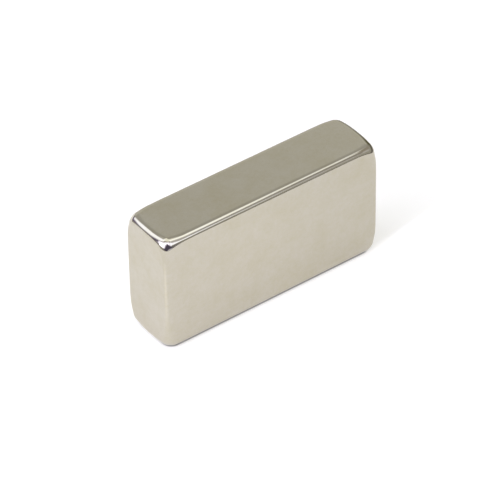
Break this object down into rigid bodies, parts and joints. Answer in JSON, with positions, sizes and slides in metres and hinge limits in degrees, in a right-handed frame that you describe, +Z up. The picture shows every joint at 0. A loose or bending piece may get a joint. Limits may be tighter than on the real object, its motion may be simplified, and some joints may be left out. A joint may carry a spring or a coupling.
{
  "type": "block magnet",
  "caption": "Rectangular block magnet with a bright nickel finish, small rounded edges and rounder corners, standing on a long narrow side.",
  "frame": {"origin": "centre of the footprint, on the long narrow side that the block rests on", "axes": "+X along the length, +Y through the thickness (the direction of magnetisation), +Z up along the height"},
  "size_m": [0.0254, 0.0064, 0.0132],
  "materials": {
    "nickel_plating": "bright nickel plate"
  },
  "bodies": {
    "root": {"block_magnet": "nickel_plating"}
  },
  "joints": []
}
